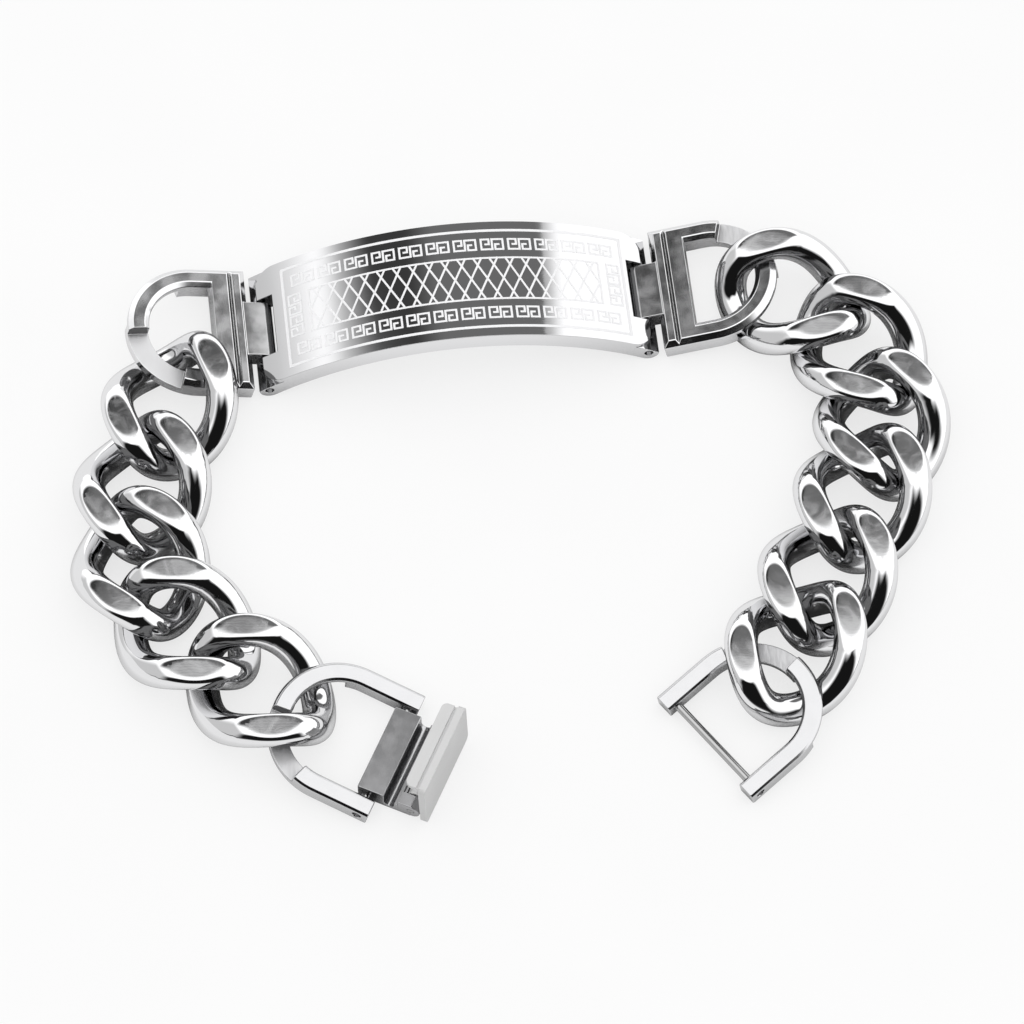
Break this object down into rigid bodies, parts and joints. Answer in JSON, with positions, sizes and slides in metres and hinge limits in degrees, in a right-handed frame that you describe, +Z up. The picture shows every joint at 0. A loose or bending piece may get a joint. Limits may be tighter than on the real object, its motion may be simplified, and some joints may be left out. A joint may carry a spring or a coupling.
{
  "type": "curb chain bracelet",
  "caption": "Heavy curb chain bracelet with an arched hinged plate and a fold-over clasp, lying open on a table.",
  "frame": {"origin": "on the table, at the middle of the bracelet's footprint", "axes": "+X along the length of the open bracelet, with the plate running almost along it, +Y from the clasp ends to the plate, +Z up from the table"},
  "size_m": [0.1043, 0.0793, 0.0094],
  "materials": {
    "polished_steel": "mirror polished steel with fine scratches",
    "brushed_block": "brushed dark grey",
    "satin_lever": "fine satin",
    "pin_steel": "drawn wire, polished"
  },
  "bodies": {
    "bracelet": {"plate": "polished_steel", "hinge_pin_left": "pin_steel", "hinge_pin_right": "pin_steel", "end_ring_left": "polished_steel", "end_ring_right": "polished_steel", "link_left_1": "polished_steel", "link_left_2": "polished_steel", "link_left_3": "polished_steel", "link_left_4": "polished_steel", "link_left_5": "polished_steel", "link_right_1": "polished_steel", "link_right_2": "polished_steel", "link_right_3": "polished_steel", "link_right_4": "polished_steel", "link_right_5": "polished_steel", "link_right_6": "polished_steel", "shackle_left": "polished_steel", "shackle_right": "polished_steel", "clasp_pin": "pin_steel", "clasp_bar": "pin_steel"},
    "clasp": {"clasp_block": "brushed_block", "lever_pin": "pin_steel"},
    "lever": {"clasp_lever": "satin_lever"}
  },
  "joints": [
    {"name": "clasp_swing", "type": "hinge", "parent": "bracelet", "child": "clasp", "pos_m": [-0.01471, -0.03092, 0.00134], "axis": [-0.3907, -0.9205, 0], "range_deg": [-60, 60]},
    {"name": "lever_hinge", "type": "hinge", "parent": "clasp", "child": "lever", "pos_m": [-0.00965, -0.03307, 0.00124], "axis": [-0.3907, -0.9205, 0], "range_deg": [-10, 88.5]}
  ]
}
